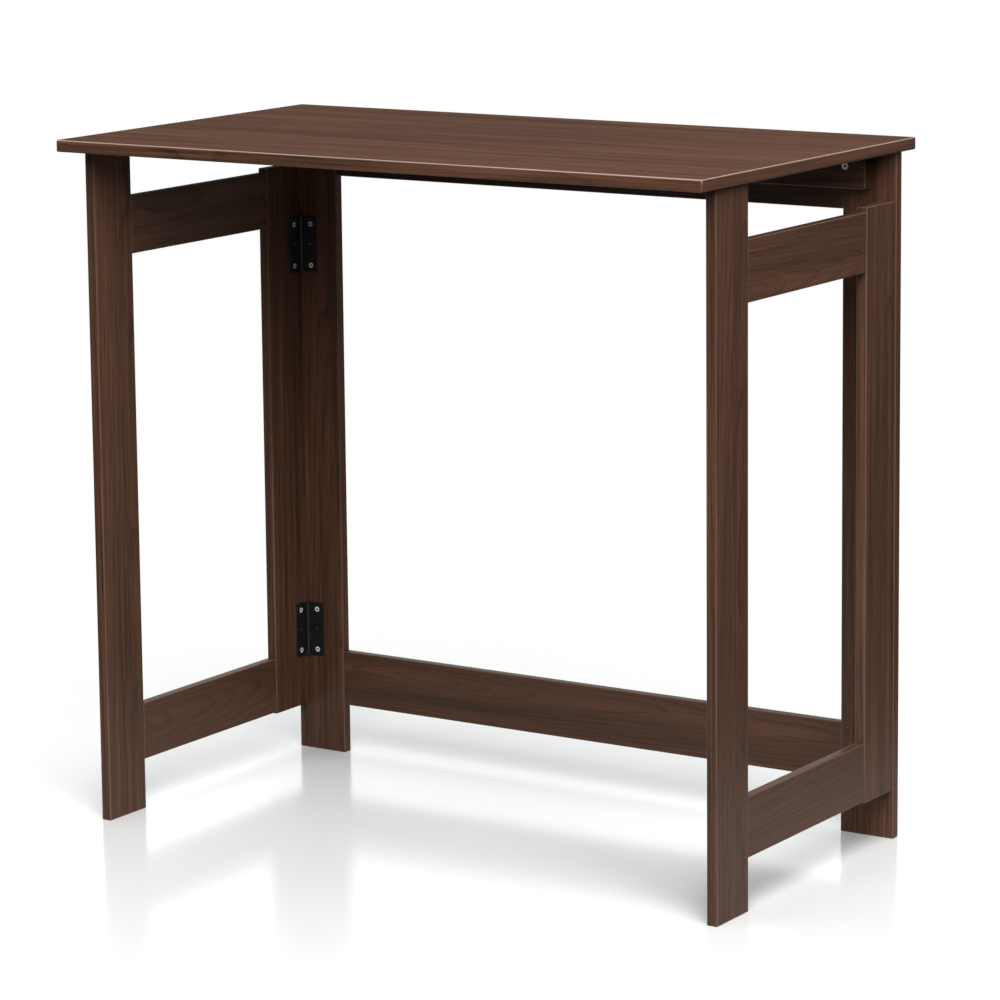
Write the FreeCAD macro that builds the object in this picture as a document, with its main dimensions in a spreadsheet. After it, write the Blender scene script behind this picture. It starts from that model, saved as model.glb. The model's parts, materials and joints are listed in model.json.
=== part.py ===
import FreeCAD, Part
import os
import Sketcher

# Gateleg table. Origin on the floor under the middle of the tabletop, +Z up, front towards -Y, mm.
# The rear frame carries the top on two battens. Two gates hang on it by butt hinges and swing in.

os.makedirs("parts", exist_ok=True)
doc = FreeCAD.newDocument("GatelegTable")

# ---------------------------------------------------------------- driving dimensions
DIMENSIONS = {
    "table_width": 800, "table_depth": 450, "table_height": 760, "top_thickness": 13,
    "side_overhang": 6, "rear_overhang": 20, "top_radius": 1.6,
    "board_thickness": 12, "rail_thickness": 11, "leg_width": 64, "rail_width": 64, "edge_radius": 1.1,
    "gate_length": 378.5, "gate_inset": 1, "gate_stop_gap": 0.2, "leg_top_gap": 0.5,
    "stile_bottom": 54, "stile_top": 695, "gate_rail_bottom": 56, "gate_rail_top": 690,
    "rear_rail_bottom": 58,
    "batten_thickness": 18, "batten_height": 40, "batten_inner": 72, "batten_outer": 366,
    "hinge_height": 63.5, "hinge_low": 145, "hinge_high": 601, "top_hinge_place": 219,
    "leaf_width": 20, "leaf_thickness": 1.4, "leaf_corner": 1.6, "leaf_clearance": 0.8,
    "pin_offset": 2.5, "knuckle_radius": 2.3, "knuckle_count": 5, "knuckle_gap": 0.2,
    "pin_radius": 1.1, "bore_gap": 0.05, "pin_head": 0.4, "pin_head_radius": 1.7,
    "screw_from_pin": 12.8, "screw_pitch": 48, "head_rise": 0.5,
    "hinge_screw_head": 2.9, "hinge_screw_shank": 1.3, "hinge_screw_length": 10,
    "batten_screw_head": 3.8, "batten_screw_shank": 1.7, "batten_screw_length": 27,
    "batten_screw_inset": 24, "screw_tip": 2.6, "screw_point": 0.2, "recess_width": 1.0,
    "recess_span": 3.9, "recess_depth": 1.2, "well_radius": 1.35, "well_bottom": 0.5,
    "well_depth": 1.8, "screw_gap": 0.05,
    "dowel_radius": 3, "dowel_length": 24, "dowel_gap": 0.05, "dowel_inset": 22,
}
SHEET = "Sizes"
sheet = doc.addObject("Spreadsheet::Sheet", SHEET)
for row, (alias, value) in enumerate(DIMENSIONS.items(), start=1):
    sheet.set(f"A{row}", alias)
    sheet.set(f"B{row}", str(value))
    sheet.setAlias(f"B{row}", alias)
doc.recompute()


def size(alias):
    """Expression for one driving dimension."""
    return f"{SHEET}.{alias}"


# Derived places, as expressions on the sheet.
TOP_UNDERSIDE = f"({size('table_height')} - {size('top_thickness')})"
FRAME_OUTER = f"({size('table_width')} / 2 - {size('side_overhang')})"
FRAME_INNER = f"({FRAME_OUTER} - {size('leg_width')})"
FRAME_FACE = f"({size('table_depth')} / 2 - {size('rear_overhang')} - {size('board_thickness')})"
GATE_OUTER = f"({FRAME_OUTER} - {size('gate_inset')})"
GATE_INNER = f"({GATE_OUTER} - {size('board_thickness')})"
GATE_FRONT = f"({FRAME_FACE} - {size('gate_length')})"
GATE_BACK = f"({FRAME_FACE} - {size('gate_stop_gap')})"
RAIL_FRONT = f"({GATE_FRONT} + {size('leg_width')})"
RAIL_BACK = f"({GATE_BACK} - {size('leg_width')})"
BATTEN_FACE = f"({FRAME_FACE} - {size('batten_thickness')})"
BATTEN_BOTTOM = f"({TOP_UNDERSIDE} - {size('batten_height')})"
PIN_X = f"({GATE_INNER} - {size('pin_offset')})"
PIN_Y = f"({FRAME_FACE} - {size('pin_offset')})"
KNUCKLE_PITCH = f"({size('hinge_height')} / {size('knuckle_count')})"
SIDES = {"left": -1, "right": 1}
HINGE_LEVELS = {"upper": size("hinge_high"), "lower": size("hinge_low")}
DOWEL_OFFSETS = (size("dowel_inset"), f"({size('rail_width')} - {size('dowel_inset')})")

X_AXIS = FreeCAD.Vector(1, 0, 0)
Y_AXIS = FreeCAD.Vector(0, 1, 0)
Z_AXIS = FreeCAD.Vector(0, 0, 1)
nodes = []


# ---------------------------------------------------------------- small helpers
def add(kind, name):
    """Add a document object whose Label is its name."""
    item = doc.addObject(kind, name)
    item.Label = name
    return item


def bind(item, **expressions):
    """Bind properties of an object to expressions on the sheet."""
    for prop, expression in expressions.items():
        item.setExpression(prop, expression)


def place(item, at, rotation=None):
    """Turn an object, then bind its position to three expressions."""
    item.Placement = FreeCAD.Placement(FreeCAD.Vector(), rotation or FreeCAD.Rotation())
    for axis, expression in zip("xyz", at):
        item.setExpression(f"Placement.Base.{axis}", expression)


def facing(direction):
    """Rotation that turns +Z to the given direction."""
    return FreeCAD.Rotation(Z_AXIS, direction)


def cylinder(name, radius, height, at, rotation=None):
    item = add("Part::Cylinder", name)
    bind(item, Radius=radius, Height=height)
    place(item, at, rotation)
    return item


def cone(name, start_radius, end_radius, height, at):
    item = add("Part::Cone", name)
    bind(item, Radius1=start_radius, Radius2=end_radius, Height=height)
    place(item, at)
    return item


def box(name, sizes, at):
    item = add("Part::Box", name)
    bind(item, Length=sizes[0], Width=sizes[1], Height=sizes[2])
    place(item, at)
    return item


def fuse(name, items):
    item = add("Part::MultiFuse", name)
    item.Shapes = items
    return item


def group(name, items):
    item = add("Part::Compound", name)
    item.Links = items
    return item


def cut(name, base, tool):
    item = add("Part::Cut", name)
    item.Base = base
    item.Tool = tool
    return item


def origin_plane(body, role):
    """The origin plane of a body that has the given role."""
    return next(feature for feature in body.Origin.OriginFeatures if feature.Role == role)


# ---------------------------------------------------------------- boards
def board(name, sizes, at, radius=size("edge_radius")):
    """A board as a body: a rectangle, padded, with every edge softened. Position is its low corner."""
    body = add("PartDesign::Body", name)
    sketch = body.newObject("Sketcher::SketchObject", f"{name}_outline")
    sketch.AttachmentSupport = (origin_plane(body, "XY_Plane"), [""])
    sketch.MapMode = "FlatFace"
    corners = [FreeCAD.Vector(0, 0), FreeCAD.Vector(10, 0), FreeCAD.Vector(10, 10), FreeCAD.Vector(0, 10)]
    for start, end in zip(corners, corners[1:] + corners[:1]):
        sketch.addGeometry(Part.LineSegment(start, end))
    for line in range(4):
        sketch.addConstraint(Sketcher.Constraint("Coincident", line, 2, (line + 1) % 4, 1))
    for line in (0, 2):
        sketch.addConstraint(Sketcher.Constraint("Horizontal", line))
    for line in (1, 3):
        sketch.addConstraint(Sketcher.Constraint("Vertical", line))
    sketch.addConstraint(Sketcher.Constraint("Coincident", 0, 1, -1, 1))
    for line, name_of_size, expression in ((0, "length", sizes[0]), (1, "width", sizes[1])):
        number = sketch.addConstraint(Sketcher.Constraint("Distance", line, 10.0))
        sketch.renameConstraint(number, name_of_size)
        sketch.setExpression(f"Constraints.{name_of_size}", expression)
    pad = body.newObject("PartDesign::Pad", f"{name}_pad")
    pad.Profile = sketch
    pad.setExpression("Length", sizes[2])
    doc.recompute()
    softened = body.newObject("PartDesign::Fillet", f"{name}_softened")
    softened.Base = (pad, [f"Edge{number}" for number in range(1, len(pad.Shape.Edges) + 1)])
    softened.setExpression("Radius", radius)
    body.Tip = softened
    place(body, at)
    return body


def drilled_board(name, sizes, at, drills, **options):
    """A finished board: the softened blank with its drill holes cut."""
    blank = board(f"{name}_blank", sizes, at, **options)
    nodes.append(cut(name, blank, group(f"{name}_drills", drills)))


# ---------------------------------------------------------------- screws
def screw(name, kind, at, direction):
    """Countersunk cross-recess screw. Its head's top is at the point, its shank runs along -direction."""
    head = size(f"{kind}_screw_head")
    shank = size(f"{kind}_screw_shank")
    length = size(f"{kind}_screw_length")
    tip = size("screw_tip")
    head_height = f"({head} - {shank})"
    solid = fuse(f"{name}_turned", [
        cone(f"{name}_head", shank, head, head_height, ("0", "0", f"-{head_height}")),
        cylinder(f"{name}_shank", shank, f"{length} - {tip}", ("0", "0", f"{tip} - {length}")),
        cone(f"{name}_tip", size("screw_point"), shank, tip, ("0", "0", f"-{length}")),
    ])
    span = size("recess_span")
    width = size("recess_width")
    depth = size("recess_depth")
    well = size("well_depth")
    recess = fuse(f"{name}_recess", [
        box(f"{name}_slot_a", (span, width, depth), (f"-{span} / 2", f"-{width} / 2", f"-{depth}")),
        box(f"{name}_slot_b", (width, span, depth), (f"-{width} / 2", f"-{span} / 2", f"-{depth}")),
        cone(f"{name}_well", size("well_bottom"), size("well_radius"), well, ("0", "0", f"-{well}")),
    ])
    item = cut(name, solid, recess)
    place(item, at, facing(direction))
    return item


def pilot(name, kind, at, direction):
    """Blind pilot hole for a screw of the given kind, just wider and longer than the screw."""
    radius = f"{size(kind + '_screw_shank')} + {size('screw_gap')}"
    height = f"{size(kind + '_screw_length')} + {size('screw_gap')}"
    return cylinder(name, radius, height, at, facing(direction * -1))


def countersink(name, kind, at, direction):
    """Cone that seats a screw's head, with its wide end at the head's top."""
    head = size(f"{kind}_screw_head")
    shank = size(f"{kind}_screw_shank")
    gap = size("screw_gap")
    item = cone(name, f"{head} + {gap}", f"{shank} + {gap}", f"{head} - {shank}", ("0", "0", "0"))
    place(item, at, facing(direction * -1))
    return item


# ---------------------------------------------------------------- butt hinges
def leaf_rotation(along, wood):
    """Rotation of a leaf: local +X runs from the pin across the leaf, local +Y points at the wood."""
    return FreeCAD.Rotation(along, wood, along.cross(wood), "XYZ")


def leaf_holes(name, item_of):
    """Three tools along a leaf, each made by the given function at its local place."""
    places = [f"{step} * {size('screw_pitch')} / 2" for step in (-1, 0, 1)]
    return [item_of(f"{name}_{number}", level) for number, level in enumerate(places, start=1)]


def rounded_plate(name, start, surface):
    """Flat plate of a leaf, from the start across to its outer edge, with two rounded outer corners."""
    thickness = size("leaf_thickness")
    corner = size("leaf_corner")
    half = f"{size('hinge_height')} / 2"
    straight = f"{size('leaf_width')} - {corner}"
    short = f"{size('hinge_height')} - 2 * {corner}"
    turn = facing(Y_AXIS)
    return [
        box(f"{name}_plate", (f"{straight} - {start}", thickness, size("hinge_height")),
            (start, surface, f"-{half}")),
        box(f"{name}_rim", (corner, thickness, short), (straight, surface, f"{corner} - {half}")),
        cylinder(f"{name}_low_corner", corner, thickness, (straight, surface, f"{corner} - {half}"), turn),
        cylinder(f"{name}_high_corner", corner, thickness, (straight, surface, f"{half} - {corner}"), turn),
    ]


def leaf(name, at, rotation, knuckles, bore):
    """One leaf of a butt hinge, centred on its pin, with the knuckles that its numbers name."""
    half = f"{size('hinge_height')} / 2"
    clear = f"({size('pin_offset')} + {size('leaf_clearance')})"
    surface = f"({size('pin_offset')} - {size('leaf_thickness')})"
    thickness = size("leaf_thickness")
    pieces = rounded_plate(name, clear, surface)
    for number in knuckles:
        low = f"-{half} + {number} * {KNUCKLE_PITCH} + {size('knuckle_gap')} / 2"
        tall = f"{KNUCKLE_PITCH} - {size('knuckle_gap')}"
        pieces.append(cylinder(f"{name}_knuckle_{number}", size("knuckle_radius"), tall, ("0", "0", low)))
        pieces.append(box(f"{name}_tab_{number}", (clear, thickness, tall), ("0", surface, low)))
    solid = fuse(f"{name}_solid", pieces)
    tools = [cylinder(f"{name}_bore", bore, size("hinge_height"), ("0", "0", f"-{half}"))]

    def shank_hole(hole_name, level):
        """Straight hole through the plate, just wider than a screw's shank."""
        radius = f"{size('hinge_screw_shank')} + {size('screw_gap')}"
        place = (size("screw_from_pin"), surface, level)
        return cylinder(hole_name, radius, thickness, place, facing(Y_AXIS))

    def sink(hole_name, level):
        """Seat for a screw's head, with its wide end at the head's top."""
        item = countersink(hole_name, "hinge", ("0", "0", "0"), Z_AXIS)
        place(item, (size("screw_from_pin"), f"{surface} - {size('head_rise')}", level), facing(Y_AXIS))
        return item

    tools += leaf_holes(f"{name}_hole", shank_hole)
    tools += leaf_holes(f"{name}_sink", sink)
    item = cut(name, solid, fuse(f"{name}_tools", tools))
    place(item, at, rotation)
    nodes.append(item)


def hinge(name, leaves, at, pin_axis):
    """A butt hinge: two leaves on one pin. A leaf is (suffix, direction across it, direction to wood)."""
    running_bore = f"{size('pin_radius')} + {size('bore_gap')}"
    (fixed, fixed_along, fixed_wood), (moving, moving_along, moving_wood) = leaves
    leaf(f"{name}_{fixed}", at, leaf_rotation(fixed_along, fixed_wood), (0, 2, 4), size("pin_radius"))
    leaf(f"{name}_{moving}", at, leaf_rotation(moving_along, moving_wood), (1, 3), running_bore)
    half = f"{size('hinge_height')} / 2"
    head = size("pin_head")
    pin = fuse(f"{name}_pin", [
        cylinder(f"{name}_pin_shaft", size("pin_radius"), size("hinge_height"), ("0", "0", f"-{half}")),
        cylinder(f"{name}_pin_top", size("pin_head_radius"), head, ("0", "0", half)),
        cylinder(f"{name}_pin_bottom", size("pin_head_radius"), head, ("0", "0", f"-{half} - {head}")),
    ])
    place(pin, at, facing(pin_axis))
    nodes.append(pin)


def offset(at, axis, expression):
    """A place moved along one row axis by an expression."""
    moved = list(at)
    moved["xyz".index(axis)] = f"{moved['xyz'.index(axis)]} + {expression}"
    return tuple(moved)


def fasten(name, kind, places, direction):
    """Screws and pilot holes at the same places."""
    screws = [screw(f"{name}_{number}", kind, at, direction) for number, at in enumerate(places, start=1)]
    pilots = [pilot(f"{name}_pilot_{number}", kind, at, direction)
              for number, at in enumerate(places, start=1)]
    return screws, pilots


# ---------------------------------------------------------------- places of the fasteners
def gate_hinge_at(side, level):
    return (f"{SIDES[side]} * {PIN_X}", PIN_Y, HINGE_LEVELS[level])


def ends_of(at, axis):
    """The two outer screw places of a leaf, along the hinge."""
    return [offset(at, axis, f"{step} * {size('screw_pitch')} / 2") for step in (-1, 1)]


HEAD_LEVEL = f"({size('leaf_thickness')} + {size('head_rise')})"


def frame_leaf_screws(side):
    """Head tops of the screws that hold both frame leaves of one side to the rear leg."""
    x = f"{SIDES[side]} * ({PIN_X} - {size('screw_from_pin')})"
    y = f"{FRAME_FACE} - {HEAD_LEVEL}"
    return [place_of for level in HINGE_LEVELS.values() for place_of in ends_of((x, y, level), "z")]


def gate_leaf_screws(side):
    """Head tops of the screws that hold both gate leaves of one side to the stile."""
    x = f"{SIDES[side]} * ({GATE_INNER} - {HEAD_LEVEL})"
    y = f"{PIN_Y} - {size('screw_from_pin')}"
    return [place_of for level in HINGE_LEVELS.values() for place_of in ends_of((x, y, level), "z")]


TOP_PIN_Y = f"({BATTEN_FACE} - {size('pin_offset')})"
TOP_PIN_Z = f"({TOP_UNDERSIDE} - {size('pin_offset')})"


def top_hinge_x(side):
    return f"{SIDES[side]} * {size('top_hinge_place')}"


def batten_leaf_screws(side):
    at = (top_hinge_x(side), f"{BATTEN_FACE} - {HEAD_LEVEL}", f"{TOP_PIN_Z} - {size('screw_from_pin')}")
    return ends_of(at, "x")


def top_leaf_screws(side):
    at = (top_hinge_x(side), f"{TOP_PIN_Y} - {size('screw_from_pin')}", f"{TOP_UNDERSIDE} - {HEAD_LEVEL}")
    return ends_of(at, "x")


def batten_screw_places(side):
    """Head tops of a batten's screws: the outer one enters the leg, the inner two enter the rail."""
    inset = size("batten_screw_inset")
    sign = SIDES[side]
    columns = (f"({size('batten_outer')} - {inset})",
               f"({FRAME_INNER} - {inset} * 2)",
               f"({size('batten_inner')} + {inset})")
    return [(f"{sign} * {x}", BATTEN_FACE, f"{BATTEN_BOTTOM} + {inset}") for x in columns]


# ---------------------------------------------------------------- fasteners and the holes they need
def screw_set(name, kind, places, direction):
    """One node of loose identical screws. Returns their pilot holes."""
    screws, pilots = fasten(name, kind, places, direction)
    nodes.append(group(name, screws))
    return pilots


frame_pilots = {}
gate_pilots = {}
batten_pilots = {}
batten_leaf_pilots = {}
top_pilots = []
FRONTWARD = Y_AXIS * -1
DOWNWARD = Z_AXIS * -1
for side, sign in SIDES.items():
    inward = X_AXIS * -sign
    frame_pilots[side] = screw_set(
        f"frame_hinge_screws_{side}", "hinge", frame_leaf_screws(side), FRONTWARD)
    gate_pilots[side] = screw_set(f"gate_hinge_screws_{side}", "hinge", gate_leaf_screws(side), inward)
    batten_pilots[side] = screw_set(f"batten_screws_{side}", "batten", batten_screw_places(side), FRONTWARD)
    batten_leaf_pilots[side] = screw_set(
        f"batten_hinge_screws_{side}", "hinge", batten_leaf_screws(side), FRONTWARD)
    top_pilots += screw_set(f"top_hinge_screws_{side}", "hinge", top_leaf_screws(side), DOWNWARD)


def dowel_set(name, places, direction):
    """One node of loose dowels, centred on the joints between boards."""
    length = size("dowel_length")
    dowels = []
    for number, at in enumerate(places, start=1):
        start = offset(at, "xyz"[[abs(part) for part in direction].index(1)], f"-{length} / 2")
        dowels.append(cylinder(f"{name}_{number}", size("dowel_radius"), length, start, facing(direction)))
    nodes.append(group(name, dowels))


def dowel_holes(name, places, direction):
    """Holes for dowels, a little wider and longer than the dowels, centred on the same joints."""
    radius = f"{size('dowel_radius')} + {size('dowel_gap')}"
    length = f"({size('dowel_length')} + 2 * {size('dowel_gap')})"
    holes = []
    for number, at in enumerate(places, start=1):
        start = offset(at, "xyz"[[abs(part) for part in direction].index(1)], f"-{length} / 2")
        holes.append(cylinder(f"{name}_{number}", radius, length, start, facing(direction)))
    return holes


def rail_levels(bottoms):
    """Heights of the dowels of each rail, from the rails' lower edges."""
    return [[f"{bottom} + {step}" for step in DOWEL_OFFSETS] for bottom in bottoms]


GATE_RAILS = {
    "upper": f"({size('gate_rail_top')} - {size('rail_width')})",
    "lower": size("gate_rail_bottom"),
}
REAR_RAILS = {
    "upper": f"({TOP_UNDERSIDE} - {size('rail_width')})",
    "lower": size("rear_rail_bottom"),
}
BOARD_HALF = f"{size('board_thickness')} / 2"


def gate_dowels(side, y, rails):
    """Dowel places on one upright of a gate, at the ends of the named rails."""
    x = f"{SIDES[side]} * ({GATE_OUTER} - {BOARD_HALF})"
    levels = rail_levels([GATE_RAILS[rail] for rail in rails])
    return [(x, y, level) for pair in levels for level in pair]


def frame_dowels(side, rails):
    """Dowel places on one rear leg, at the ends of the named rails."""
    x = f"{SIDES[side]} * {FRAME_INNER}"
    y = f"{FRAME_FACE} + {size('rail_thickness')} / 2"
    levels = rail_levels([REAR_RAILS[rail] for rail in rails])
    return [(x, y, level) for pair in levels for level in pair]


# ---------------------------------------------------------------- rear frame
def low_x(side, outer, width):
    """Lower X of a piece that is `width` wide and has its outer face at `outer` on that side."""
    return f"-{outer}" if side == "left" else f"{outer} - {width}"


def rear_leg(side):
    name = f"rear_leg_{side}"
    drills = frame_pilots[side] + [doc.getObject(f"batten_screws_{side}_pilot_1")]
    drills += dowel_holes(f"{name}_dowel_hole", frame_dowels(side, REAR_RAILS), X_AXIS)
    drilled_board(
        name,
        (size("leg_width"), size("board_thickness"), TOP_UNDERSIDE),
        (low_x(side, FRAME_OUTER, size("leg_width")), FRAME_FACE, "0"),
        drills)


def rear_rail(level):
    name = f"rear_rail_{level}"
    drills = []
    for side in SIDES:
        drills += dowel_holes(f"{name}_{side}_dowel_hole", frame_dowels(side, [level]), X_AXIS)
        if level == "upper":
            drills += [doc.getObject(f"batten_screws_{side}_pilot_{number}") for number in (2, 3)]
    drilled_board(
        name,
        (f"2 * {FRAME_INNER}", size("rail_thickness"), size("rail_width")),
        (f"-{FRAME_INNER}", FRAME_FACE, REAR_RAILS[level]),
        drills)


def batten(side):
    name = f"batten_{side}"
    sinks = [countersink(f"{name}_sink_{number}", "batten", at, FRONTWARD)
             for number, at in enumerate(batten_screw_places(side), start=1)]
    through = fuse(f"{name}_screw_holes", sinks + batten_pilots[side])
    width = f"({size('batten_outer')} - {size('batten_inner')})"
    drilled_board(
        name,
        (width, size("batten_thickness"), size("batten_height")),
        (low_x(side, size("batten_outer"), width), BATTEN_FACE, BATTEN_BOTTOM),
        [through] + batten_leaf_pilots[side])


for side in SIDES:
    rear_leg(side)
    batten(side)
for level in REAR_RAILS:
    rear_rail(level)
dowel_set("rear_frame_dowels",
          [at for side in SIDES for at in frame_dowels(side, REAR_RAILS)], X_AXIS)
drilled_board(
    "tabletop",
    (size("table_width"), size("table_depth"), size("top_thickness")),
    (f"-{size('table_width')} / 2", f"-{size('table_depth')} / 2", TOP_UNDERSIDE),
    top_pilots,
    radius=size("top_radius"))


# ---------------------------------------------------------------- gates
def front_leg(side):
    """Full-height leg at the gate's free end. It stops just short of the tabletop."""
    name = f"front_leg_{side}"
    drilled_board(
        name,
        (size("board_thickness"), size("leg_width"), f"{TOP_UNDERSIDE} - {size('leg_top_gap')}"),
        (low_x(side, GATE_OUTER, size("board_thickness")), GATE_FRONT, "0"),
        dowel_holes(f"{name}_dowel_hole", gate_dowels(side, RAIL_FRONT, GATE_RAILS), Y_AXIS))


def gate_stile(side):
    """Short upright that carries the hinges."""
    name = f"gate_stile_{side}"
    drills = dowel_holes(f"{name}_dowel_hole", gate_dowels(side, RAIL_BACK, GATE_RAILS), Y_AXIS)
    drilled_board(
        name,
        (size("board_thickness"), size("leg_width"), f"{size('stile_top')} - {size('stile_bottom')}"),
        (low_x(side, GATE_OUTER, size("board_thickness")), RAIL_BACK, size("stile_bottom")),
        drills + gate_pilots[side])


def gate_rail(side, level):
    """Rail between the leg and the stile, a little thinner than they are and centred on them."""
    name = f"gate_rail_{level}_{side}"
    recess = f"({size('board_thickness')} - {size('rail_thickness')}) / 2"
    holes = []
    for end, y in (("front", RAIL_FRONT), ("back", RAIL_BACK)):
        holes += dowel_holes(f"{name}_{end}_dowel_hole", gate_dowels(side, y, [level]), Y_AXIS)
    drilled_board(
        name,
        (size("rail_thickness"), f"{RAIL_BACK} - {RAIL_FRONT}", size("rail_width")),
        (low_x(side, f"({GATE_OUTER} - {recess})", size("rail_thickness")), RAIL_FRONT, GATE_RAILS[level]),
        holes)


for side in SIDES:
    front_leg(side)
    gate_stile(side)
    for level in GATE_RAILS:
        gate_rail(side, level)
    dowel_set(f"gate_dowels_{side}",
              gate_dowels(side, RAIL_FRONT, GATE_RAILS) + gate_dowels(side, RAIL_BACK, GATE_RAILS), Y_AXIS)

# ---------------------------------------------------------------- hinges
for side, sign in SIDES.items():
    inward = X_AXIS * -sign
    outward = X_AXIS * sign
    for level in HINGE_LEVELS:
        leaves = (("frame_leaf", inward, Y_AXIS), ("gate_leaf", FRONTWARD, outward))
        hinge(f"hinge_{level}_{side}", leaves, gate_hinge_at(side, level), Z_AXIS)
    leaves = (("batten_leaf", DOWNWARD, Y_AXIS), ("top_leaf", FRONTWARD, Z_AXIS))
    hinge(f"top_hinge_{side}", leaves, (top_hinge_x(side), TOP_PIN_Y, TOP_PIN_Z), X_AXIS)

# ---------------------------------------------------------------- checks and export
doc.recompute()
for item in doc.Objects:
    if "Invalid" in item.State or "Error" in item.State:
        raise RuntimeError(f"{item.Label} failed: {item.State}")
for node in nodes:
    shape = node.Shape
    if shape.isNull() or not shape.isValid() or not shape.Solids:
        raise RuntimeError(f"{node.Label} has no valid shape")
    shape.exportStep(f"parts/{node.Label}.step")
    print(f"{node.Label}: {len(shape.Solids)} solid(s), {shape.Volume:.1f} mm3")
print(f"{len(nodes)} nodes")
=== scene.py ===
import json
import math

import bpy
import numpy as np
from mathutils import Matrix, Vector


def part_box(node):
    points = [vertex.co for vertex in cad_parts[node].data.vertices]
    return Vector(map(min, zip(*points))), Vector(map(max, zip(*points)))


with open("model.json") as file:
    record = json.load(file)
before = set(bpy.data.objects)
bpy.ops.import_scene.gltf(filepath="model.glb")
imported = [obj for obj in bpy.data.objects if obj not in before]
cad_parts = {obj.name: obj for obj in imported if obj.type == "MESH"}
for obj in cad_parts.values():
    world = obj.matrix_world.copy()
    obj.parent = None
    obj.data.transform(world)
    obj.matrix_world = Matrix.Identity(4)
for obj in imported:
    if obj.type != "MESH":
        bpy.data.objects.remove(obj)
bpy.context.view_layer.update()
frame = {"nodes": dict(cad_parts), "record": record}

NODES = frame["nodes"]
MM = 0.001

# One minus the cosine between the true and the rounded normal, on a flat and well inside an edge
FLAT_TURN = 0.01
EDGE_TURN = 0.12


# ---------------------------------------------------------------- shader maths
class Number:
    """A value that varies over a surface. It wraps a socket, and each operator adds a Math node."""

    def __init__(self, paint, socket):
        self.paint = paint
        self.socket = socket

    def maths(self, operation, *others, first=None):
        values = [self if first is None else first, *others]
        return self.paint.add("ShaderNodeMath", {"operation": operation}, dict(enumerate(values)))

    def __add__(self, other):
        return self.maths("ADD", other)

    def __sub__(self, other):
        return self.maths("SUBTRACT", other)

    def __mul__(self, other):
        return self.maths("MULTIPLY", other)

    def __truediv__(self, other):
        return self.maths("DIVIDE", other)

    def __pow__(self, other):
        return self.maths("POWER", other)

    def __rsub__(self, other):
        return self.maths("SUBTRACT", self, first=other)

    __radd__ = __add__
    __rmul__ = __mul__

    def __abs__(self):
        return self.maths("ABSOLUTE")

    def fraction(self):
        return self.maths("FRACT")

    def smaller(self, other):
        return self.maths("MINIMUM", other)

    def larger(self, other):
        return self.maths("MAXIMUM", other)

    def step(self, low, high):
        """Smooth rise from 0 at low to 1 at high. High may be the smaller of the two."""
        return self.paint.add(
            "ShaderNodeMapRange",
            {"interpolation_type": "SMOOTHSTEP"},
            {"Value": self, "From Min": low, "From Max": high},
        )


class Paint:
    """A material whose nodes come from one method."""

    def __init__(self, name):
        self.material = bpy.data.materials.new(name)
        self.material.use_nodes = True
        self.nodes = self.material.node_tree.nodes
        self.links = self.material.node_tree.links
        self.shader = self.nodes["Principled BSDF"]

    def add(self, kind, settings=None, values=None, output=0):
        """One node: its settings first, then the values or links of its inputs. Gives one output."""
        node = self.nodes.new(kind)
        for key, setting in (settings or {}).items():
            if key == "stops":
                self.set_stops(node.color_ramp, setting)
            else:
                setattr(node, key, setting)
        for key, value in (values or {}).items():
            self.feed(node.inputs[key], value)
        return Number(self, node.outputs[output])

    def set_stops(self, ramp, stops):
        while len(ramp.elements) < len(stops):
            ramp.elements.new(1.0)
        for element, (position, colour) in zip(ramp.elements, stops):
            element.position = position
            element.color = (*colour, 1.0)

    def feed(self, socket, value):
        if isinstance(value, Number):
            self.links.new(value.socket, socket)
        else:
            socket.default_value = value

    def finish(self, **inputs):
        """Feed the shader's inputs; underscores in the names stand for spaces."""
        for key, value in inputs.items():
            self.feed(self.shader.inputs[key.replace("_", " ")], value)
        return self.material

    def place(self):
        return self.add("ShaderNodeTexCoord", output="Object")

    def mapped(self, vector, centre=(0, 0, 0), turn=(0, 0, 0)):
        """The vector seen from a frame at the centre, turned by the angles."""
        values = {"Vector": vector, "Location": centre, "Rotation": turn}
        return self.add("ShaderNodeMapping", {"vector_type": "TEXTURE"}, values)

    def stretched(self, vector, factors):
        return self.add("ShaderNodeVectorMath", {"operation": "MULTIPLY"}, {0: vector, 1: factors})

    def moved(self, vector, shift):
        return self.add("ShaderNodeVectorMath", {"operation": "ADD"}, {0: vector, 1: shift})

    def parts(self, vector):
        node = self.add("ShaderNodeSeparateXYZ", values={0: vector})
        return [Number(self, node.socket.node.outputs[index]) for index in range(3)]

    def noise(self, vector, scale=1.0, detail=2.0, roughness=0.5):
        values = {"Vector": vector, "Scale": scale, "Detail": detail, "Roughness": roughness}
        return self.add("ShaderNodeTexNoise", values=values)

    def mix(self, factor, first, second):
        """Colour mix from first, at 0, to second, at 1."""
        def colour(value):
            return value if isinstance(value, Number) else (*value, 1.0)
        values = {0: factor, 6: colour(first), 7: colour(second)}
        return self.add("ShaderNodeMix", {"data_type": "RGBA"}, values, output=2)

    def bump(self, height, strength, distance):
        values = {"Height": height, "Strength": strength, "Distance": distance}
        return self.add("ShaderNodeBump", values=values)

    def edges(self, radius):
        """1 on convex edges and 0 on flats: how far the rounded normal leaves the true one."""
        rounded = self.add("ShaderNodeBevel", {"samples": 6}, {"Radius": radius})
        true = self.add("ShaderNodeNewGeometry", output="Normal")
        match = self.add("ShaderNodeVectorMath", {"operation": "DOT_PRODUCT"}, {0: rounded, 1: true}, "Value")
        return (1 - match).step(FLAT_TURN, EDGE_TURN)


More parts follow.
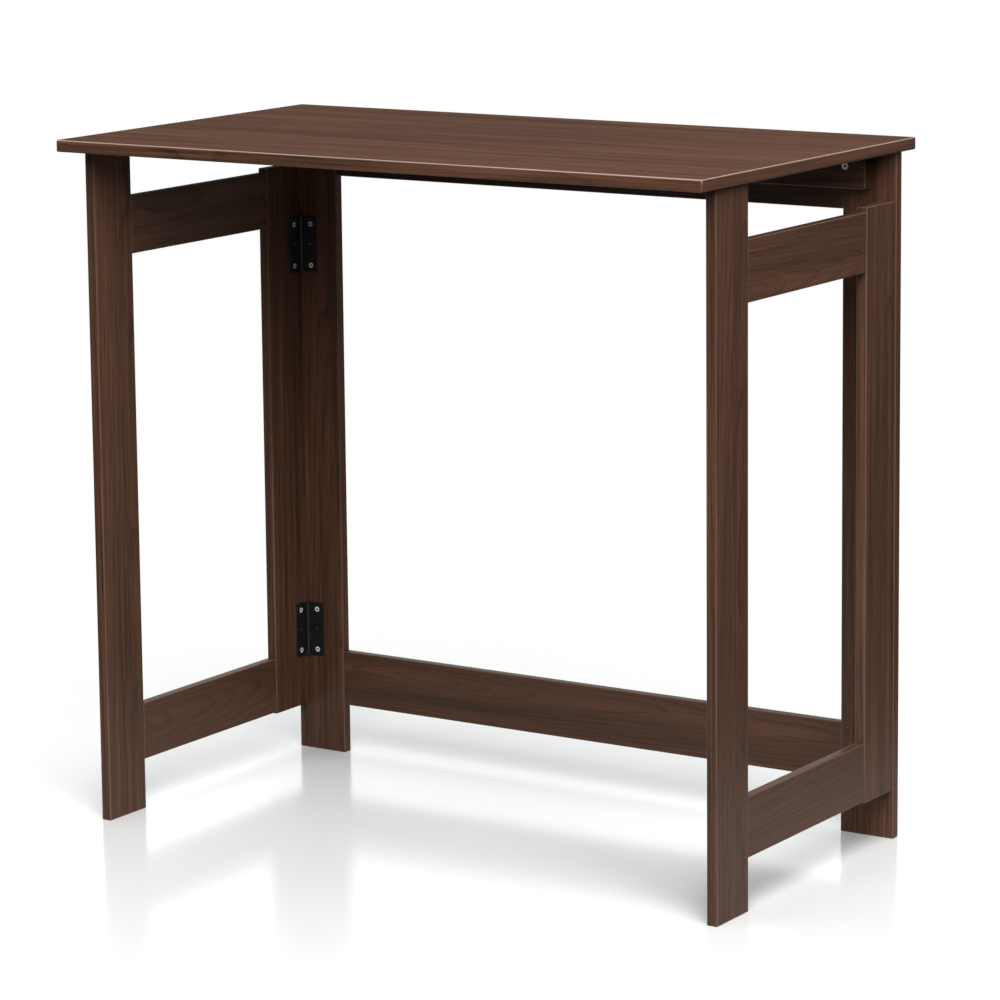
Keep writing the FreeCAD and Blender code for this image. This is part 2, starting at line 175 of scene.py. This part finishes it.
# ---------------------------------------------------------------- wood
GRAIN_TURNS = {"X": (0, 0, 0), "Y": (0, 0, math.pi / 2), "Z": (0, -math.pi / 2, 0)}
VEIN_BROWN = (0.0125, 0.0083, 0.0052)
DEEP_BROWN = (0.0300, 0.0163, 0.0098)
WALNUT_BROWN = (0.0600, 0.0270, 0.0161)
LIGHT_BROWN = (0.1020, 0.0450, 0.0280)
# Arris colour: part edge wear, part painted highlight where the rounded edges catch the light
ARRIS_HIGHLIGHT_BROWN = (0.3300, 0.2450, 0.2100)
BROWN_STOPS = [(0.0, VEIN_BROWN), (0.30, DEEP_BROWN), (0.62, WALNUT_BROWN), (1.0, LIGHT_BROWN)]

RING_SPACING = 4.6 * MM
HEART_WANDER_ASIDE = 0.018
HEART_WANDER_BELOW = 0.034
HEART_RIPPLE = 0.0022
ARRIS_WIDTH = 1.7 * MM
BAND_SEAM_INSET = 4.5 * MM
BAND_TONE = 0.62
# Share of the painted arris highlight kept on the lower arrises of a banded board; the light falls on the
# upper ones
LOWER_ARRIS_HIGHLIGHT_SHARE = 0.15


def arris(paint, place, low, high, width):
    """1 on a board's long and short arrises, fading to 0 at the given distance from them.
    A point's depths below the three pairs of faces are sorted, and the middle one is small on an arris."""
    centre = (low + high) / 2
    half = (high - low) / 2
    first, second, third = (half[axis] - abs(part - centre[axis])
                            for axis, part in enumerate(paint.parts(place)))
    middle = first.smaller(second).larger(first.larger(second).smaller(third))
    return middle.step(width, 0.0)


def walnut_board(name, grain, number, heart=(0.35, 55 * MM, 0.02), edge_wear_and_highlight=0.13,
                 tone_and_shade=0.60, streaky=1.0, banded=False):
    """Satin dark walnut: growth rings round a heart line, fibres, pores, and lighter arrises that are part
    edge wear and part painted highlight.
    heart is the heart line's place across the board in board widths, its depth below the face and its slope.
    streaky sets how much the fibres stand out from the wood round them.
    A banded board has strips with their own grain on the faces across its ends."""
    low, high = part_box(name)
    centre = (low + high) / 2
    extents = high - low
    along = "XYZ".index(grain)
    thin = min(range(3), key=lambda axis: extents[axis])
    wide = 3 - along - thin
    paint = Paint(f"walnut_{name}")
    place = paint.place()
    seed = (number * 1.37, number * 2.11 + 0.4, number * 0.83)

    def grain_frame(axis):
        """Place on the board, from its middle, with X along the given grain axis."""
        return paint.moved(paint.mapped(place, centre=tuple(centre), turn=GRAIN_TURNS[axis]), seed)

    def streaks(grain_place, length, width, detail=3.0, roughness=0.55):
        """Noise whose features are about so long along the grain and so wide across it."""
        stretch = (1 / length, 1 / width, 1 / width)
        return paint.noise(paint.stretched(grain_place, stretch), detail=detail, roughness=roughness)

    # Distance from the heart line, with a slow wander and a slope along the board
    grained = grain_frame(grain)
    parts = paint.parts(place)
    wander = streaks(grained, 0.42, 0.13) - 0.5
    ripple = streaks(grained, 0.10, 0.022, detail=2.0) - 0.5
    aside = parts[wide] - (centre[wide] + heart[0] * extents[wide])
    aside = aside + wander * HEART_WANDER_ASIDE + ripple * HEART_RIPPLE
    below = parts[thin] - (centre[thin] - heart[1]) + (parts[along] - centre[along]) * heart[2]
    below = below + wander * HEART_WANDER_BELOW
    ring = (((aside * aside + below * below) ** 0.5) / RING_SPACING).fraction()
    late_wood = (ring ** 6) * ring.step(1.0, 0.94)

    figure = streaks(grained, 0.80, 0.030, roughness=0.6)
    strand = streaks(grained, 0.30, 0.0085, detail=4.0, roughness=0.62)
    thread = streaks(grained, 0.24, 0.0015, detail=4.0, roughness=0.70)
    pore = streaks(grained, 0.016, 0.00075, detail=2.0).step(0.60, 0.72)
    dark_thread = streaks(grained, 0.13, 0.0022).step(0.58, 0.68) * figure.step(0.32, 0.58)
    vein = late_wood * strand.step(0.34, 0.56)
    fibres = (strand - 0.5) * 0.80 + (thread - 0.5) * 1.60 - dark_thread * 0.26
    # The board's base tone; on the boards under the tabletop it also carries painted shade
    tone = tone_and_shade + (figure - 0.5) * 0.70 + fibres * streaky - vein * 0.38 - pore * 0.16
    # Lighter arrises: edge wear together with a painted highlight along the rounded edges
    arris_wear_and_highlight = arris(paint, place, low, high, ARRIS_WIDTH) * (0.5 + strand) * edge_wear_and_highlight
    if banded:
        across = grain_frame("XYZ"[wide])
        strip = BAND_TONE + (streaks(across, 0.25, 0.004) - 0.5) * 0.9
        strip = strip + (streaks(across, 0.10, 0.0012) - 0.5) * 0.8
        seam = abs(parts[wide] - (high[wide] - BAND_SEAM_INSET)).step(0.7 * MM, 0.3 * MM)
        ends = (extents[along] / 2 - abs(parts[along] - centre[along])).step(0.8 * MM, 0.4 * MM)
        tone = tone + (strip - seam * 0.45 - tone) * ends
        # The painted arris highlight is kept mostly to the upper arrises, where the light falls
        upper = parts[thin].step(centre[thin], high[thin])
        arris_wear_and_highlight = arris_wear_and_highlight * (LOWER_ARRIS_HIGHLIGHT_SHARE + (1 - LOWER_ARRIS_HIGHLIGHT_SHARE) * upper)

    brown = paint.add("ShaderNodeValToRGB", {"stops": BROWN_STOPS}, {"Fac": tone})
    return paint.finish(
        Base_Color=paint.mix(arris_wear_and_highlight, brown, ARRIS_HIGHLIGHT_BROWN),
        Roughness=0.42 + (1 - thread) * 0.2,
        Normal=paint.bump(thread * 0.6 - pore * 0.9 - vein * 0.3, 0.20, 0.10 * MM),
        Coat_Weight=0.40 - pore * 0.15 + arris_wear_and_highlight * 0.3,
        Coat_Roughness=0.30,
        Specular_IOR_Level=0.0,
    )


def raw_beech():
    """Pale dowel wood: short flecks along the grain over a warm cream ground."""
    paint = Paint("raw_beech")
    place = paint.place()
    fleck = paint.noise(paint.stretched(place, (180.0, 180.0, 700.0)), detail=3.0).step(0.55, 0.75)
    cloud = paint.noise(place, scale=60.0, detail=3.0)
    cream = paint.mix(cloud, (0.50, 0.34, 0.19), (0.62, 0.45, 0.28))
    return paint.finish(
        Base_Color=paint.mix(fleck * 0.5, cream, (0.34, 0.20, 0.10)),
        Roughness=0.60 + cloud * 0.2,
        Normal=paint.bump(fleck, 0.3, 0.1 * MM),
    )


# ---------------------------------------------------------------- metal
def black_hinge_paint():
    """Black stove paint on steel: faint orange peel, and edges rubbed a little towards bare metal."""
    paint = Paint("black_hinge_paint")
    place = paint.place()
    peel = paint.noise(place, scale=900.0, detail=3.0, roughness=0.6)
    cloud = paint.noise(place, scale=120.0, detail=4.0)
    rubbed = paint.edges(0.35 * MM) * cloud.step(0.35, 0.65)
    return paint.finish(
        Base_Color=paint.mix(rubbed * 0.55, (0.0045, 0.0045, 0.0048), (0.060, 0.058, 0.054)),
        Metallic=rubbed * 0.6,
        Roughness=0.38 + cloud * 0.14 - rubbed * 0.05,
        Normal=paint.bump(peel, 0.15, 0.05 * MM),
        Specular_IOR_Level=0.6,
    )


def dark_pin_steel():
    """Blackened steel pin: turned rings across it, with a thin oil stain."""
    paint = Paint("dark_pin_steel")
    place = paint.place()
    ring = paint.noise(paint.stretched(place, (300.0, 300.0, 4200.0)), detail=2.0)
    stain = paint.noise(place, scale=220.0, detail=4.0).step(0.45, 0.7)
    return paint.finish(
        Base_Color=paint.mix(stain, (0.040, 0.038, 0.035), (0.018, 0.016, 0.014)),
        Metallic=0.6,
        Roughness=0.34 + ring * 0.15 + stain * 0.1,
        Normal=paint.bump(ring, 0.2, 0.03 * MM),
        Specular_IOR_Level=0.3,
    )


def bright_zinc():
    """Bright zinc plate: silvery, with a warm and cool bloom, polished rims and painted shade in the recess.
    """
    paint = Paint("bright_zinc")
    place = paint.place()
    bloom = paint.noise(place, scale=420.0, detail=3.0, roughness=0.55)
    grain = paint.noise(place, scale=2600.0, detail=2.0)
    rim = paint.edges(0.25 * MM)
    # Painted shade: the colour goes near black where ambient occlusion finds the screw head's recess
    openness = paint.add("ShaderNodeAmbientOcclusion", {"samples": 8}, {"Distance": 2.5 * MM}, "AO")
    recess_shade = openness.step(0.95, 0.70)
    plate = paint.mix(bloom, (0.74, 0.73, 0.70), (0.88, 0.85, 0.79))
    polished = paint.mix(rim * 0.6, plate, (0.95, 0.93, 0.88))
    return paint.finish(
        Base_Color=paint.mix(recess_shade, polished, (0.010, 0.009, 0.008)),
        Metallic=0.30,
        Roughness=0.30 + grain * 0.12 - rim * 0.06,
        Normal=paint.bump(grain, 0.12, 0.03 * MM),
        Specular_IOR_Level=0.8,
    )


def give(node, material):
    """Put a material on every slot of a CAD node."""
    mesh = NODES[node].data
    if not mesh.materials:
        mesh.materials.append(material)
    for index in range(len(mesh.materials)):
        mesh.materials[index] = material


# Grain direction of each board
BOARD_GRAINS = {"tabletop": "X"}
for level in ("upper", "lower"):
    BOARD_GRAINS[f"rear_rail_{level}"] = "X"
for side in ("left", "right"):
    BOARD_GRAINS[f"batten_{side}"] = "X"
    BOARD_GRAINS[f"rear_leg_{side}"] = "Z"
    BOARD_GRAINS[f"front_leg_{side}"] = "Z"
    BOARD_GRAINS[f"gate_stile_{side}"] = "Z"
    for level in ("upper", "lower"):
        BOARD_GRAINS[f"gate_rail_{level}_{side}"] = "Y"

BOARD_LOOKS = {
    # The tabletop's strong arris lightening is mostly a painted highlight along its rounded edges
    "tabletop": {"heart": (0.42, 38 * MM, 0.03), "edge_wear_and_highlight": 0.75, "banded": True},
    "gate_rail_upper_right": {"heart": (-0.30, 14 * MM, 0.11), "streaky": 0.60},
    "gate_rail_lower_right": {"heart": (0.60, 30 * MM, 0.06), "streaky": 0.50},
    "gate_rail_upper_left": {"streaky": 0.45, "tone_and_shade": 0.66},
    "gate_rail_lower_left": {"heart": (0.10, 20 * MM, 0.08), "streaky": 0.55},
    "rear_rail_lower": {"heart": (0.20, 18 * MM, 0.05), "streaky": 0.45, "tone_and_shade": 0.57},
    # The upper rear rail and the battens sit under the tabletop: their lower tone is painted shade
    "rear_rail_upper": {"tone_and_shade": 0.44, "streaky": 0.45},
    "batten_left": {"tone_and_shade": 0.42},
    "batten_right": {"tone_and_shade": 0.42},
}
for number, (board, grain) in enumerate(BOARD_GRAINS.items(), start=1):
    give(board, walnut_board(board, grain, number, **BOARD_LOOKS.get(board, {})))

HARDWARE = {
    "bright_screw": bright_zinc(),
    "beech_dowel": raw_beech(),
    "hinge_pin": dark_pin_steel(),
    "black_hinge": black_hinge_paint(),
}
for part in frame["record"]["subparts"]:
    if part["material_slot"] in HARDWARE:
        give(part["node"], HARDWARE[part["material_slot"]])


# ---------------------------------------------------------------- floor, light and camera
FLOOR_REACH = 3.0
# Within the first radius the floor is opaque pale grey, a painted broad shade round the table; by the second
# it has faded into the white surroundings
FULL_SHADE_RADIUS = 0.50
CLEAR_RADIUS = 1.05


def studio_floor():
    """A flat square floor, one face. It is glossy pale grey round the table, a painted broad shade, and fades
    into the white surroundings further out.
    """
    corners = np.array([(-1, -1, 0), (1, -1, 0), (1, 1, 0), (-1, 1, 0)], float) * FLOOR_REACH
    mesh = bpy.data.meshes.new("studio_floor")
    mesh.from_pydata(corners.tolist(), [], [(0, 1, 2, 3)])
    floor = bpy.data.objects.new("studio_floor", mesh)
    bpy.context.scene.collection.objects.link(floor)
    paint = Paint("studio_floor_gloss")
    place = paint.place()
    across, along, _ = paint.parts(place)
    cloud = paint.noise(place, scale=1.3, detail=2.0)
    mesh.materials.append(paint.finish(
        Base_Color=(0.57, 0.58, 0.58, 1.0),
        # Painted shade: opaque grey near the table, clearing to the white surroundings further out
        Alpha=((across * across + along * along) ** 0.5).step(CLEAR_RADIUS, FULL_SHADE_RADIUS),
        Roughness=0.13 + cloud * 0.05,
        Specular_IOR_Level=0.5,
    ))


def softbox(name, at, sides, power, target=(0, 0, 0.4), mirrored=True, diffused=True):
    """A rectangular area light that faces the target and isn't seen itself.
    It can be kept out of reflections, or out of the light that falls on matt surfaces."""
    lamp = bpy.data.lights.new(name, "AREA")
    lamp.shape = "RECTANGLE"
    lamp.size, lamp.size_y = sides
    lamp.energy = power
    light = bpy.data.objects.new(name, lamp)
    light.location = at
    light.rotation_euler = (Vector(target) - Vector(at)).to_track_quat("-Z", "Y").to_euler()
    light.visible_camera = False
    light.visible_glossy = mirrored
    light.visible_diffuse = diffused
    bpy.context.scene.collection.objects.link(light)


def studio_sky(seen, mirrored, cast):
    """White surroundings with three strengths: where they are seen, in reflections, and as a light."""
    world = bpy.data.worlds.new("studio_sky")
    bpy.context.scene.world = world
    world.use_nodes = True
    nodes = world.node_tree.nodes
    links = world.node_tree.links
    path = nodes.new("ShaderNodeLightPath")
    strength = cast
    for ray, value in (("Is Glossy Ray", mirrored), ("Is Camera Ray", seen)):
        switch = nodes.new("ShaderNodeMix")
        links.new(path.outputs[ray], switch.inputs[0])
        if isinstance(strength, float):
            switch.inputs[2].default_value = strength
        else:
            links.new(strength, switch.inputs[2])
        switch.inputs[3].default_value = value
        strength = switch.outputs[0]
    nodes["Background"].inputs["Color"].default_value = (1, 1, 1, 1)
    links.new(strength, nodes["Background"].inputs["Strength"])


CAMERA_PLACE = (2.365, -3.605, 1.209)
# Degrees: the turn to the left of +Y, the dip below level and the roll
CAMERA_HEADING = 33.06
CAMERA_DIP = 9.35
CAMERA_ROLL = -0.58


def table_camera():
    """Long lens from the right front, a little above the top, with a small downward shift."""
    lens = bpy.data.cameras.new("table_camera")
    lens.lens = 146.3
    lens.sensor_width = 36.0
    lens.shift_y = -0.12
    camera = bpy.data.objects.new("table_camera", lens)
    turn = Matrix.Rotation(math.radians(CAMERA_HEADING), 4, "Z")
    tilt = Matrix.Rotation(math.radians(90 - CAMERA_DIP), 4, "X")
    roll = Matrix.Rotation(math.radians(CAMERA_ROLL), 4, "Z")
    camera.matrix_world = Matrix.Translation(CAMERA_PLACE) @ turn @ tilt @ roll
    bpy.context.scene.collection.objects.link(camera)
    bpy.context.scene.camera = camera


studio_floor()
studio_sky(seen=1.0, mirrored=0.12, cast=0.12)
softbox("overhead_box", (0.0, 0.0, 3.6), (4.0, 4.0), 118.0)
softbox("key_box", (1.9, -2.1, 2.9), (3.0, 3.0), 340.0, mirrored=False)
softbox("rear_box", (-1.2, 3.4, 3.0), (4.0, 4.0), 45.0, mirrored=False)
softbox("low_back_card", (-1.2, 1.5, 0.37), (5.0, 0.7), 15.5, target=(1.3, -2.5, 0.37), diffused=False)
table_camera()
bpy.context.scene.view_settings.view_transform = "Standard"
